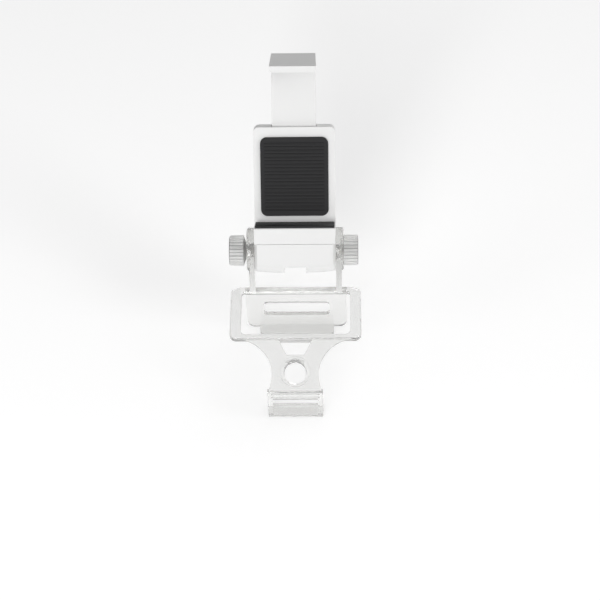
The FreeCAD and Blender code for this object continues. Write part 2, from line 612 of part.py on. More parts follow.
def make_clamp_body():
    body = new_body("clamp_body")
    block_outline(body, "housing_top")
    clear_profile(body, "above_shelf", [
        ("-block_front - past", "shelf_top"), ("housing_front", "shelf_top"),
        ("housing_front", "housing_top + past"), ("-block_front - past", "housing_top + past"),
    ])
    clear_profile(body, "cap_room", [
        ("-block_front - past", "-block_bottom - past"),
        ("-block_front + cap_thick + fit_gap", "-block_bottom - past"),
        ("-block_front + cap_thick + fit_gap", "cap_top + fit_gap"),
        ("-block_front - past", "cap_top + fit_gap"),
    ])
    clear_profile(body, "cover_room", [
        (CAVITY_BACK, "cover_bottom - fit_gap"), (HOUSING_BACK + " + past", "cover_bottom - fit_gap"),
        (HOUSING_BACK + " + past", "housing_top + past"), (CAVITY_BACK, "housing_top + past"),
    ])
    round_edges(body, "housing_corners", "housing_corner", lambda edge: runs_along(edge, "y")
                and near(box_of(edge).ZMin, "housing_top"))

    cavity = new_sketch(body, "cavity_outline", "XZ_Plane", out="-" + CAVITY_FRONT)
    rectangle(cavity, "-clamp_wide / 2 + side_wall", "clamp_wide / 2 - side_wall",
              "cavity_floor", CAVITY_TOP)
    pocket(body, "slider_cavity", cavity, "cavity_deep")
    slot = new_sketch(body, "slot_outline", "XZ_Plane", out="-" + CAVITY_FRONT)
    rectangle(slot, "-stem_wide / 2 - slide_side", "stem_wide / 2 + slide_side",
              CAVITY_TOP + " - past", "housing_top + past")
    pocket(body, "slider_slot", slot, "cavity_deep")

    nut_slot = new_sketch(body, "nut_slot_outline", "XZ_Plane", out="block_front")
    for side in (1, -1):
        edges = ["%d * (nut_in - nut_room)" % side, "%d * (nut_in + nut_high + nut_room)" % side]
        rectangle(nut_slot, edges[0], edges[1],
                  "-nut_flats / 2 - nut_room", "nut_flats / 2 + nut_room")
    pocket(body, "nut_slots", nut_slot, "block_front + nut_flats / sqrt(3) + nut_room")
    bore = new_sketch(body, "pivot_bore_outline", "YZ_Plane")
    circle(bore, "0", "0", "stud_hole / 2")
    pocket(body, "pivot_bore", bore, "clamp_wide * 2", both=True)
    for side, name in ((1, "right"), (-1, "left")):
        recess = new_sketch(
            body, "washer_outline_" + name, "YZ_Plane", out="%d * clamp_wide / 2" % side)
        circle(recess, "0", "0", "washer_wide / 2 + washer_room")
        pocket(body, "washer_recess_" + name, recess, "washer_sink", back=side < 0)

    rods = new_sketch(body, "rod_outline", "XY_Plane", out="rod_high")
    circle(rods, "rod_apart / 2", CAVITY_MIDDLE, "rod_wide / 2")
    circle(rods, "-rod_apart / 2", CAVITY_MIDDLE, "rod_wide / 2")
    pocket(body, "rod_holes", rods, "rod_high - rod_low")
    pilots = new_sketch(body, "pilot_outline", "XZ_Plane", out="-" + CAVITY_BACK)
    for across, along in SCREW_PLACES:
        circle(pilots, across, along, "screw_wide / 2 + screw_room")
    pocket(body, "screw_pilots", pilots, "screw_long - cover_thick + screw_room", back=True)
    round_edges(body, "shelf_edge", "soft_edge", lambda edge: runs_along(edge, "x")
                and near(box_of(edge).YMin, "-block_front") and near(box_of(edge).ZMin, "shelf_top"))
    lean_back(body)
    return body


SCREW_PLACES = [
    ("screw_low_apart / 2", "screw_low"), ("-screw_low_apart / 2", "screw_low"),
    ("screw_high_apart / 2", "screw_high"), ("-screw_high_apart / 2", "screw_high"),
]


def make_front_cap():
    """the lower band of the block's front, a thick plate rounded under"""
    body = new_body("front_cap")
    block_outline(body, "cap_top")
    clear_profile(body, "cap_back", [
        ("-block_front + cap_thick", "-block_bottom - past"),
        (HOUSING_BACK + " + past", "-block_bottom - past"),
        (HOUSING_BACK + " + past", "cap_top + past"), ("-block_front + cap_thick", "cap_top + past"),
    ])
    round_edges(body, "cap_side_edges", "soft_edge * 2", lambda edge: runs_along(edge, "z")
                and near(box_of(edge).YMin, "-block_front")
                and near(abs(box_of(edge).XMin), "clamp_wide / 2"), kind="Chamfer")
    lean_back(body)
    return body


def make_rear_cover():
    body = new_body("rear_cover")
    sketch = new_sketch(body, "cover_outline", "XZ_Plane", out="-" + CAVITY_BACK)
    rectangle(sketch, "-clamp_wide / 2", "clamp_wide / 2", "cover_bottom", "housing_top")
    pad(body, "cover_plate", sketch, "cover_thick", back=True)
    round_edges(body, "cover_corners", "housing_corner", lambda edge: runs_along(edge, "y")
                and near(box_of(edge).ZMin, "housing_top"))
    round_edges(body, "cover_rim", "soft_edge", lambda edge: near(box_of(edge).YMin, HOUSING_BACK)
                and not near(box_of(edge).ZMax, "cover_bottom"), kind="Chamfer")
    holes = new_sketch(body, "cover_holes_outline", "XZ_Plane", out="-" + HOUSING_BACK)
    for across, along in SCREW_PLACES:
        circle(holes, across, along, "screw_wide / 2 + screw_room")
    pocket(body, "cover_holes", holes, "cover_thick * 3", both=True)
    for index, (across, along) in enumerate(SCREW_PLACES):
        sink = body.newObject("PartDesign::SubtractiveCone", "countersink_%d" % index)
        attach(sink, body, "XZ_Plane", across, along, "-" + HOUSING_BACK)
        sink.setExpression("Radius1", bound("screw_head / 2 + screw_room"))
        sink.setExpression("Radius2", bound("screw_wide / 2 + screw_room"))
        sink.setExpression("Height", bound("screw_sink"))
        doc.recompute()
    lean_back(body)
    return body


def make_slider():
    """stem, wings and upper jaw, moulded in one"""
    body = new_body("slider")
    stem_front = "(" + CAVITY_MIDDLE + " - stem_thick / 2)"
    stem_back = "(" + CAVITY_MIDDLE + " + stem_thick / 2)"
    stem = new_sketch(body, "stem_view", "XZ_Plane", out="-" + stem_front)
    outline(stem, [
        ("-wing_span / 2", WING_LEVEL), ("wing_span / 2", WING_LEVEL),
        ("wing_span / 2", WING_LEVEL + " + wing_high"), ("stem_wide / 2", WING_LEVEL + " + wing_high"),
        ("stem_wide / 2", JAW_LEVEL), ("-stem_wide / 2", JAW_LEVEL),
        ("-stem_wide / 2", WING_LEVEL + " + wing_high"), ("-wing_span / 2", WING_LEVEL + " + wing_high"),
    ])
    pad(body, "stem_and_wings", stem, "stem_thick", back=True)
    jaw = new_sketch(body, "jaw_plan", "XY_Plane", out=JAW_LEVEL + " - jaw_lip")
    outline(jaw, [
        ("-jaw_wide / 2", "-lip_back - lip_thick"), ("jaw_wide / 2", "-lip_back - lip_thick"),
        ("stem_wide / 2", stem_back), ("-stem_wide / 2", stem_back),
    ])
    pad(body, "jaw_stock", jaw, "jaw_lip + jaw_root")
    clear_profile(body, "jaw_mouth", [
        ("-lip_back", JAW_LEVEL + " - jaw_lip - past"), (stem_front, JAW_LEVEL + " - jaw_lip - past"),
        (stem_front, JAW_LEVEL), ("-lip_back", JAW_LEVEL),
    ])
    clear_profile(body, "jaw_top", [
        ("-lip_back - lip_thick", JAW_LEVEL + " + jaw_tip"), (stem_back, JAW_LEVEL + " + jaw_root"),
        (stem_back, JAW_LEVEL + " + jaw_root + past"),
        ("-lip_back - lip_thick - past", JAW_LEVEL + " + jaw_root + past"),
        ("-lip_back - lip_thick - past", JAW_LEVEL + " + jaw_tip"),
    ])
    lip_foot = JAW_LEVEL + " - jaw_lip"
    round_edges(body, "lip_corners", "lip_corner", lambda edge: near(box_of(edge).ZMin, lip_foot)
                and near(box_of(edge).ZMax, lip_foot)
                and box_of(edge).XLength < size("past") and near(box_of(edge).YMax, "-lip_back"))
    rods = new_sketch(body, "wing_holes_outline", "XY_Plane", out=WING_LEVEL + " + wing_high")
    circle(rods, "rod_apart / 2", CAVITY_MIDDLE, "rod_hole / 2")
    circle(rods, "-rod_apart / 2", CAVITY_MIDDLE, "rod_hole / 2")
    pocket(body, "wing_holes", rods, "wing_high")
    lean_back(body)
    return body


def make_pad(name, role, out, thick, edges, corner):
    """a rubber pad: a flat plate with rounded corners"""
    body = new_body(name)
    sketch = new_sketch(body, name + "_outline", role, out=out)
    rectangle(sketch, *edges)
    pad(body, name + "_plate", sketch, thick)
    across = "y" if role == "XZ_Plane" else "z"
    round_edges(body, name + "_corners", corner, lambda edge: runs_along(edge, across))
    lean_back(body)
    return body


def make_spring(name):
    """the room that a compression spring takes, a plain sleeve from the wing to the housing's roof"""
    low = "(" + WING_LEVEL + " + wing_high)"
    body = turned(name, [
        ("spring_wide / 2 - spring_wire", low), ("spring_wide / 2", low),
        ("spring_wide / 2", CAVITY_TOP), ("spring_wide / 2 - spring_wire", CAVITY_TOP),
    ])
    lean_back(body)
    return body


def rod_line(item, side):
    """move a piece from the clamp's middle to the line of a guide rod"""
    item.setExpression(".Placement.Base.x", bound("%d * rod_apart / 2" % side))
    item.setExpression(".Placement.Base.y", bound("pivot_back + " + CAVITY_MIDDLE + " * cos(lean)"))
    item.setExpression(".Placement.Base.z", bound("pivot_up - " + CAVITY_MIDDLE + " * sin(lean)"))


def make_rod(name):
    body = new_body(name)
    sketch = new_sketch(body, name + "_circle", "XY_Plane", out="rod_low")
    circle(sketch, "0", "0", "rod_wide / 2 - screw_room / 2")
    pad(body, name + "_shaft", sketch, "rod_high - rod_low - screw_room")
    lean_back(body)
    return body


def turned(name, corners):
    """a body of revolution about +Z from pairs of rules for radius and height"""
    body = new_body(name)
    sketch = new_sketch(body, name + "_profile", "XZ_Plane")
    outline(sketch, corners)
    revolve(body, name + "_turned", sketch)
    return body


def make_stud(name, side, shift):
    outer = "(" + KNOB_FACE + " + knob_long - turn_gap * 3)"
    body = turned(name, [
        ("0", "stud_tip"), ("stud_wide / 2 - stud_edge", "stud_tip"),
        ("stud_wide / 2", "stud_tip + stud_edge"),
        ("stud_wide / 2", outer + " - head_high"), ("head_wide / 2", outer + " - head_high"),
        ("head_wide / 2", outer + " - head_edge"), ("head_wide / 2 - head_edge", outer), ("0", outer),
    ])
    turn_out(body, side, shift)
    return body


def make_knob(name, side, shift):
    """a clear thumb knob: cone neck, ribbed rim, seat for the stud's head"""
    outer = "(" + KNOB_FACE + " + knob_long)"
    tip = "(" + EAR_FACE + " - seat_deep + knob_face_gap)"
    seat = "(" + KNOB_FACE + " + knob_long - turn_gap * 3 - head_high - turn_gap)"
    bore = "(stud_wide / 2 + turn_gap)"
    body = turned(name, [
        (bore, tip), ("seat_throat / 2 - cone_gap", tip),
        ("seat_wide / 2 - cone_gap", KNOB_FACE),
        ("knob_wide / 2 - knob_edge / 2", KNOB_FACE), ("knob_wide / 2", KNOB_FACE + " + knob_edge / 2"),
        ("knob_wide / 2 - knob_taper", outer + " - knob_edge"),
        ("knob_wide / 2 - knob_taper - knob_edge", outer),
        ("head_wide / 2 + turn_gap", outer), ("head_wide / 2 + turn_gap", seat), (bore, seat),
    ])
    groove = new_sketch(body, name + "_groove", "XY_Plane", out=outer)
    outline(groove, [
        ("knob_wide / 2 - rib_deep", "-rib_gap / 6"), ("knob_wide / 2 + past / 4", "-rib_gap / 2"),
        ("knob_wide / 2 + past / 4", "rib_gap / 2"), ("knob_wide / 2 - rib_deep", "rib_gap / 6"),
    ])
    first = pocket(body, name + "_first_groove", groove, "knob_long + past / 4")
    pattern = body.newObject("PartDesign::PolarPattern", name + "_ribs")
    pattern.Originals = [first]
    pattern.Axis = (origin_feature(body, "Z_Axis"), [""])
    pattern.Angle = 360.0
    pattern.setExpression("Occurrences", bound("rib_count"))
    body.Tip = pattern
    doc.recompute()
    turn_out(body, side, shift)
    return body


def make_nut(name, side):
    body = new_body(name)
    sketch = new_sketch(body, name + "_outline", "XY_Plane", out="nut_in")
    reach = "nut_flats / sqrt(3)"
    half = "nut_flats / 2"
    outline(sketch, [
        ("-" + half, "-" + reach + " / 2"), ("0", "-" + reach), (half, "-" + reach + " / 2"),
        (half, reach + " / 2"), ("0", reach), ("-" + half, reach + " / 2"),
    ])
    circle(sketch, "0", "0", "stud_wide / 2 + turn_gap")
    pad(body, name + "_plate", sketch, "nut_high")
    turn_out(body, side)
    return body


def make_washer(name, side):
    base = "(clamp_wide / 2 - washer_sink)"
    body = turned(name, [
        ("washer_hole / 2", base), ("washer_wide / 2", base),
        ("washer_wide / 2", base + " + washer_high"), ("washer_hole / 2", base + " + washer_high"),
    ])
    turn_out(body, side)
    return body


def make_screw(index, across, along):
    """a countersunk self-tapping screw, driven in from behind"""
    name = "rear_screw_%d" % index
    body = turned(name, [
        ("0", "-screw_long"), ("screw_wide / 4", "-screw_long"),
        ("screw_wide / 2", "-screw_long + screw_wide / 2"),
        ("screw_wide / 2", "-screw_sink"), ("screw_head / 2", "0"), ("0", "0"),
    ])
    lean = FreeCAD.Rotation(FreeCAD.Vector(1, 0, 0), -size("lean"))
    backward = FreeCAD.Rotation(FreeCAD.Vector(1, 0, 0), -90.0)
    body.Placement = FreeCAD.Placement(FreeCAD.Vector(), lean.multiply(backward))
    body.setExpression(".Placement.Base.x", bound(across))
    body.setExpression(".Placement.Base.y", bound(
        "pivot_back + " + HOUSING_BACK + " * cos(lean) + (" + along + ") * sin(lean)"))
    body.setExpression(".Placement.Base.z", bound(
        "pivot_up - " + HOUSING_BACK + " * sin(lean) + (" + along + ") * cos(lean)"))
    return body


pieces = [make_bracket(), make_clamp_body(), make_front_cap(), make_rear_cover(), make_slider()]
pieces.append(make_pad("shelf_pad", "XY_Plane", "shelf_top", "shelf_pad", (
    "-clamp_wide / 2 + pad_inset", "clamp_wide / 2 - pad_inset",
    "-block_front + soft_edge", "housing_front - pad_inset"), "pad_inset"))
pieces.append(make_pad("jaw_pad", "XY_Plane", "shelf_top + shelf_pad + opening", "jaw_pad", (
    "-stem_wide / 2 + pad_inset", "stem_wide / 2 - pad_inset",
    "-lip_back + pad_inset", CAVITY_FRONT + " - pad_inset"), "pad_inset"))
pieces.append(make_pad("back_pad", "XZ_Plane", "-housing_front", "back_pad", (
    "-back_pad_wide / 2", "back_pad_wide / 2", "back_pad_low", "back_pad_low + back_pad_high"),
    "pad_corner"))
for side, hand in ((-1, "left"), (1, "right")):
    outward = "loosened" if side < 0 else "0"
    spring = make_spring("spring_" + hand)
    rod = make_rod("guide_rod_" + hand)
    rod_line(spring, side)
    rod_line(rod, side)
    pieces += [spring, rod]
    pieces.append(make_stud("stud_" + hand, side, outward))
    pieces.append(make_knob("knob_" + hand, side, outward))
    pieces.append(make_nut("nut_" + hand, side))
    pieces.append(make_washer("washer_" + hand, side))
screws = [make_screw(index, *place) for index, place in enumerate(SCREW_PLACES)]
rear_screws = doc.addObject("Part::Compound", "rear_screws")
rear_screws.Links = screws
pieces.append(rear_screws)
doc.recompute()

for item in doc.Objects:
    if "Invalid" in item.State or "Error" in item.State:
        raise RuntimeError("failed: " + item.Name)
for piece in pieces:
    if piece.Shape.isNull() or not piece.Shape.isValid() or not piece.Shape.Solids:
        raise RuntimeError("no valid solid in " + piece.Label)

os.makedirs("parts", exist_ok=True)
for piece in pieces:
    piece.Shape.exportStep("parts/" + piece.Label + ".step")
    box = piece.Shape.BoundBox
    print("%-16s %d solid(s) %9.2f mm3  x %6.1f %6.1f  y %6.1f %6.1f  z %6.1f %6.1f" % (
        piece.Label, len(piece.Shape.Solids), piece.Shape.Volume,
        box.XMin, box.XMax, box.YMin, box.YMax, box.ZMin, box.ZMax))
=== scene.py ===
import math

import bmesh
import bpy
from mathutils import Matrix, Vector


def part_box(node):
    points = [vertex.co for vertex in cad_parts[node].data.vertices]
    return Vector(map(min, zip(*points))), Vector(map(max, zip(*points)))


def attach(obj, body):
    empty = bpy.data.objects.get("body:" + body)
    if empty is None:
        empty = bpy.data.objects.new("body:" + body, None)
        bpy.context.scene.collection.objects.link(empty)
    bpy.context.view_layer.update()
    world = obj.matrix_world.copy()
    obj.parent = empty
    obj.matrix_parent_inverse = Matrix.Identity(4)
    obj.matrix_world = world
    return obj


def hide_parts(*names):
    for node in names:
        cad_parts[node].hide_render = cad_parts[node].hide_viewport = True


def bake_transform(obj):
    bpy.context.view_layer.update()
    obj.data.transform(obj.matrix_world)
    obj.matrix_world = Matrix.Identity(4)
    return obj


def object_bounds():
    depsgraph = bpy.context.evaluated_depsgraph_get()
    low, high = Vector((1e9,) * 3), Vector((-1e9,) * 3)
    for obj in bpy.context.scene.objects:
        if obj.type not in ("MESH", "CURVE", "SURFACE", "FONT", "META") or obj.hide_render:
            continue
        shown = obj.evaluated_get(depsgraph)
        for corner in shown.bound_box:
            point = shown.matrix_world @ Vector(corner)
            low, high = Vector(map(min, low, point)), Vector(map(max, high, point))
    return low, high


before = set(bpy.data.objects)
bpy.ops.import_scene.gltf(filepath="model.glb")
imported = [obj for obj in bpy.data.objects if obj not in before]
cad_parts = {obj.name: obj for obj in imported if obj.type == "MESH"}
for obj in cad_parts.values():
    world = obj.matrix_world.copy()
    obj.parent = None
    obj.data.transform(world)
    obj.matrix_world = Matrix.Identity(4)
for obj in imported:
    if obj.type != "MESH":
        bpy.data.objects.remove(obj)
cad_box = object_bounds()
scene = bpy.context.scene

# ---------------------------------------------------------------------------------------------
# Camera. The clip is seen from in front and above, about five sixths of a metre away through
# a long lens, as it stands on a host that slopes down towards the lower edge of the picture.
CAMERA_PLACE = (0.021, -0.5094, 0.6704)
CAMERA_TILT = 37.7
CAMERA_TURN = 2.117
CAMERA_ROLL = -1.999
CAMERA_LENS = 111.52


def put_in_scene(name, data):
    """an object of that name with that mesh, lamp or camera, linked to the scene"""
    thing = bpy.data.objects.new(name, data)
    scene.collection.objects.link(thing)
    return thing


camera = put_in_scene("camera", bpy.data.cameras.new("camera"))
camera.location = CAMERA_PLACE
turn = Matrix.Rotation(math.radians(CAMERA_TURN), 3, "Z")
tilt = Matrix.Rotation(math.radians(CAMERA_TILT), 3, "X")
roll = Matrix.Rotation(math.radians(CAMERA_ROLL), 3, "Z")
camera.rotation_euler = (turn @ tilt @ roll).to_euler()
camera.data.lens = CAMERA_LENS
camera.data.sensor_width = 36.0
camera.data.clip_start = 0.01
camera.data.clip_end = 20.0
scene.camera = camera

# ---------------------------------------------------------------------------------------------
# Table and light. A pale matt table under the clip, a broad soft box over the camera and three
# fainter ones at the sides and behind, as in a plain studio picture.
TABLE_REACH = 4.0
TABLE_GAP = 0.0002
TABLE_GLOW = 0.31
PAINT_CLOUD_SCALE = 2.0

HORIZON = (0.03, 0.03, 0.032, 1.0)
LOW_SKY = (0.1, 0.1, 0.104, 1.0)
LOW_SKY_AT = 0.28
CEILING = (0.8, 0.8, 0.8, 1.0)
CEILING_AT = 0.75
BACKDROP = (1.1, 1.1, 1.1, 1.0)
LIGHTER_TOWARDS = (0.6, 0.0, 1.0)
AIR_STRENGTH = 0.62

LAMPS_AIM = (0, 0.02, 0.03)
LAMPS = (
    ("soft_box_camera", (-0.3, -0.95, 0.62), 0.6, 6.4),
    ("soft_box_left", (-0.9, -0.1, 0.5), 0.35, 0.8),
    ("soft_box_right", (0.9, -0.2, 0.6), 0.35, 2.4),
    ("soft_box_behind", (0.2, 1.0, 0.8), 0.35, 0.6),
)

scene.view_settings.view_transform = "Standard"


def new_material(name):
    """a material of that name, with its node tree and its shader"""
    material = bpy.data.materials.new(name)
    material.use_nodes = True
    return material, material.node_tree, material.node_tree.nodes["Principled BSDF"]


def object_place(tree):
    """the place on the piece, in metres of the shared frame"""
    return tree.nodes.new("ShaderNodeTexCoord").outputs["Object"]


def cloudiness(tree, place, scale, detail=2.0):
    """soft clouds between 0 and 1"""
    cloud = tree.nodes.new("ShaderNodeTexNoise")
    cloud.inputs["Scale"].default_value = scale
    cloud.inputs["Detail"].default_value = detail
    tree.links.new(place, cloud.inputs["Vector"])
    return cloud.outputs["Fac"]


def spread(tree, value, low, high, start=0.0, end=1.0, kind="LINEAR"):
    """a value between start and end, spread over the range from low to high"""
    wide = tree.nodes.new("ShaderNodeMapRange")
    wide.interpolation_type = kind
    for label, number in (("From Min", start), ("From Max", end),
                          ("To Min", low), ("To Max", high)):
        wide.inputs[label].default_value = number
    tree.links.new(value, wide.inputs["Value"])
    return wide.outputs["Result"]


def pale_paint():
    """matt near-white paint with a very faint cloudiness"""
    material, tree, shader = new_material("pale_paint")
    shader.inputs["Roughness"].default_value = 0.8
    shade = spread(tree, cloudiness(tree, object_place(tree), PAINT_CLOUD_SCALE), 0.9, 0.92)
    tree.links.new(shade, shader.inputs["Base Color"])
    shader.inputs["Emission Color"].default_value = (1.0, 1.0, 1.0, 1.0)
    shader.inputs["Emission Strength"].default_value = TABLE_GLOW
    return material


table_top = bpy.data.meshes.new("table_top")
table_top.from_pydata(
    [(-TABLE_REACH, -TABLE_REACH, 0), (TABLE_REACH, -TABLE_REACH, 0),
     (TABLE_REACH, TABLE_REACH, 0), (-TABLE_REACH, TABLE_REACH, 0)], [], [(0, 1, 2, 3)])
table_top.transform(Matrix.Translation((0, 0, cad_box[0].z - TABLE_GAP)))
table_top.materials.append(pale_paint())
table = put_in_scene("table_top", table_top)


def feed(tree, value, socket):
    """give a socket a plain value, or link it to the output that makes the value"""
    if isinstance(value, bpy.types.NodeSocket):
        tree.links.new(value, socket)
    else:
        socket.default_value = value


def mixed(tree, share, first, second):
    """a colour between two colours, by a share between 0 and 1"""
    tone = tree.nodes.new("ShaderNodeMix")
    tone.data_type = "RGBA"
    for label, value in (("Factor", share), ("A", first), ("B", second)):
        feed(tree, value, tone.inputs[label])
    return tone.outputs["Result"]


def vector_figure(tree, operation, *values):
    """the result of a sum on vectors: a number for a length or a dot product, else a vector"""
    node = tree.nodes.new("ShaderNodeVectorMath")
    node.operation = operation
    for value, socket in zip(values, node.inputs):
        feed(tree, value, socket)
    return node.outputs["Value" if operation in ("DOT_PRODUCT", "LENGTH") else "Vector"]


def studio_air():
    """a bright ceiling over a dim horizon, darkest at the left: it draws clear plastic's edges"""
    air = bpy.data.worlds.new("studio_air")
    air.use_nodes = True
    tree = air.node_tree
    outwards = tree.nodes.new("ShaderNodeTexCoord").outputs["Generated"]
    height = vector_figure(tree, "DOT_PRODUCT", outwards, LIGHTER_TOWARDS)
    ramp = tree.nodes.new("ShaderNodeValToRGB")
    stops = ramp.color_ramp.elements
    stops[0].position = 0.0
    stops[0].color = HORIZON
    stops[1].position = CEILING_AT
    stops[1].color = CEILING
    stops.new(LOW_SKY_AT).color = LOW_SKY
    tree.links.new(height, ramp.inputs["Fac"])
    seen = tree.nodes.new("ShaderNodeLightPath")
    colour = mixed(tree, seen.outputs["Is Camera Ray"], ramp.outputs["Color"], BACKDROP)
    tree.links.new(colour, tree.nodes["Background"].inputs["Color"])
    tree.nodes["Background"].inputs["Strength"].default_value = AIR_STRENGTH
    return air


scene.world = studio_air()

for name, place, size, power in LAMPS:
    lamp = bpy.data.lights.new(name, "AREA")
    lamp.energy = power
    lamp.size = size
    holder = put_in_scene(name, lamp)
    holder.location = place
    aim = Vector(LAMPS_AIM) - Vector(place)
    holder.rotation_euler = aim.to_track_quat("-Z", "Y").to_euler()
    holder.visible_transmission = False

# ---------------------------------------------------------------------------------------------
# Bracket. One injection moulding in clear polycarbonate: a flat frame, a waisted stem that runs
# down to the front hook, a rear wall with a lip, and two ears that carry the clamp.
BRACKET_EDGE = 0.0002
WELD_REACH = 2e-6
FLAT_ANGLE = 0.8
SHARP_ANGLE = 28.0
EDGE_STEPS = 2
BRACKET_TINT = (0.96, 0.96, 0.955, 1.0)
CLEAR_IOR = 1.585
CLEAR_SMOKE = (0.8, 0.8, 0.79, 1.0)
CLEAR_SHADOW = (0.88, 0.88, 0.875, 1.0)
CLEAR_CROSSINGS = 3.5
FLOW_SCALE = 70.0
FLOW_DEEP = 0.0003
SEAM_PLACE = -0.0012
SEAM_HALF = 0.0005


def soften_edges(piece, width):
    """weld the piece's triangles, merge its flat ones and round its sharp edges"""
    weld = piece.modifiers.new("weld", "WELD")
    weld.merge_threshold = WELD_REACH
    flat = piece.modifiers.new("flat_faces", "DECIMATE")
    flat.decimate_type = "DISSOLVE"
    flat.angle_limit = math.radians(FLAT_ANGLE)
    bevel = piece.modifiers.new("round_edges", "BEVEL")
    bevel.width = width
    bevel.segments = EDGE_STEPS
    bevel.limit_method = "ANGLE"
    bevel.angle_limit = math.radians(SHARP_ANGLE)
    bevel.harden_normals = True
    bevel.use_clamp_overlap = True


def dress(piece, material):
    """give a piece one material on all its faces"""
    piece.data.materials.clear()
    piece.data.materials.append(material)


def figure(tree, operation, *values):
    """the result of a sum on values that are numbers or come from other nodes"""
    node = tree.nodes.new("ShaderNodeMath")
    node.operation = operation
    for value, socket in zip(values, node.inputs):
        feed(tree, value, socket)
    return node.outputs["Value"]


def raise_skin(tree, shader, height, strength, deep):
    """raise a fine texture on a moulding's skin"""
    bump = tree.nodes.new("ShaderNodeBump")
    bump.inputs["Strength"].default_value = strength
    bump.inputs["Distance"].default_value = deep
    tree.links.new(height, bump.inputs["Height"])
    tree.links.new(bump.outputs["Normal"], shader.inputs["Normal"])


def mould_seam(tree, place):
    """1 on the line where the mould's halves meet, 0 at its sides"""
    across = tree.nodes.new("ShaderNodeSeparateXYZ")
    tree.links.new(place, across.inputs["Vector"])
    away = figure(tree, "ABSOLUTE", figure(tree, "ADD", across.outputs["X"], -SEAM_PLACE))
    return spread(tree, away, 1.0, 0.0, end=SEAM_HALF, kind="SMOOTHSTEP")


def clear_polycarbonate(name, rough, milk, tint, ripple, smoke, seam=0.0):
    """clear moulded plastic, a little milky, with flow ripples and the mould's faint seam"""
    material, tree, shader = new_material(name)
    shader.inputs["Base Color"].default_value = tint
    shader.inputs["Transmission Weight"].default_value = 1.0 - milk
    shader.inputs["IOR"].default_value = CLEAR_IOR
    shader.inputs["Roughness"].default_value = rough
    place = object_place(tree)
    flow = cloudiness(tree, place, FLOW_SCALE)
    skin = figure(tree, "MULTIPLY_ADD", mould_seam(tree, place), seam, flow)
    raise_skin(tree, shader, skin, ripple, FLOW_DEEP)
    # shadows, and light that has crossed many faces, go straight through
    thin = tree.nodes.new("ShaderNodeBsdfTransparent")
    thin.inputs["Color"].default_value = CLEAR_SHADOW
    ray = tree.nodes.new("ShaderNodeLightPath")
    through = figure(tree, "GREATER_THAN", ray.outputs["Ray Depth"], CLEAR_CROSSINGS)
    for label in ("Is Shadow Ray", "Is Diffuse Ray"):
        through = figure(tree, "MAXIMUM", ray.outputs[label], through)
    surface = tree.nodes.new("ShaderNodeMixShader")
    tree.links.new(through, surface.inputs["Fac"])
    tree.links.new(shader.outputs["BSDF"], surface.inputs[1])
    tree.links.new(thin.outputs["BSDF"], surface.inputs[2])
    depth = tree.nodes.new("ShaderNodeVolumeAbsorption")
    depth.inputs["Color"].default_value = CLEAR_SMOKE
    depth.inputs["Density"].default_value = smoke
    output = tree.nodes["Material Output"]
    tree.links.new(surface.outputs["Shader"], output.inputs["Surface"])
    tree.links.new(depth.outputs["Volume"], output.inputs["Volume"])
    return material


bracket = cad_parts["bracket"]
soften_edges(bracket, BRACKET_EDGE)
dress(bracket, clear_polycarbonate(
    "bracket_polycarbonate", rough=0.05, milk=0.14, tint=BRACKET_TINT, ripple=0.04, smoke=90.0,
    seam=4.0))

# ---------------------------------------------------------------------------------------------
# Clamp mouldings. The block with the shelf and the slider housing, its front cap, its rear cover
# and the slider with the upper jaw: white plastic, moulded with a fine even texture.
MOULDING_EDGES = (("clamp_body", 0.0003), ("front_cap", 0.0003), ("rear_cover", 0.00015),
                  ("slider", 0.0003))
CLAMP_TINT = (0.86, 0.86, 0.855, 1.0)
CLAMP_IOR = 1.49
CLOUD_SCALE = 60.0
CLOUD_SHADE = 0.975
GRAIN_SCALE = 2600.0
GRAIN_STRENGTH = 0.12
GRAIN_DEEP = 0.00004


def white_plastic(name, colour):
    """white moulded plastic: semi-gloss, fine spark-eroded grain, faintly uneven"""
    material, tree, shader = new_material(name)
    shader.inputs["IOR"].default_value = CLAMP_IOR
    place = object_place(tree)
    cloud = cloudiness(tree, place, CLOUD_SCALE, detail=4.0)
    darker = [channel * CLOUD_SHADE for channel in colour[:3]] + [1.0]
    tree.links.new(mixed(tree, cloud, darker, colour), shader.inputs["Base Color"])
    tree.links.new(spread(tree, cloud, 0.34, 0.46), shader.inputs["Roughness"])
    grain = cloudiness(tree, place, GRAIN_SCALE)
    raise_skin(tree, shader, grain, GRAIN_STRENGTH, GRAIN_DEEP)
    return material


clamp_white = white_plastic("clamp_white", CLAMP_TINT)
for name, width in MOULDING_EDGES:
    soften_edges(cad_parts[name], width)
    dress(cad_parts[name], clamp_white)

# ---------------------------------------------------------------------------------------------
# Pads. Black rubber strips glued to the shelf, under the jaw and on the front of the housing.
# The large one on the housing is moulded with rounded grip ribs.
LEAN = math.radians(36.0)
HINGE = Vector((0.0, 0.0231, 0.0179))
UPRIGHT = Matrix.Rotation(-LEAN, 4, "X")
PAD_EDGE = 0.00015
PAD_FACE = -0.0003
RUBBER_TINT = (0.014, 0.014, 0.015, 1.0)
PEBBLE_SCALE = 1500.0
PEBBLE_STRENGTH = 0.3
PEBBLE_DEEP = 0.00008
RIB_RADIUS = 0.00045
RIB_STANDS = 0.00025
RIB_PITCH = 0.0016
RIB_LENGTH = 0.0266
RIB_COUNT = 20
FIRST_RIB = 0.0188


def on_clamp(across, back, up):
    """the place of a point that the clamp's own axes give in metres from the hinge line"""
    return HINGE + Vector((
        across, back * math.cos(LEAN) + up * math.sin(LEAN),
        up * math.cos(LEAN) - back * math.sin(LEAN)))


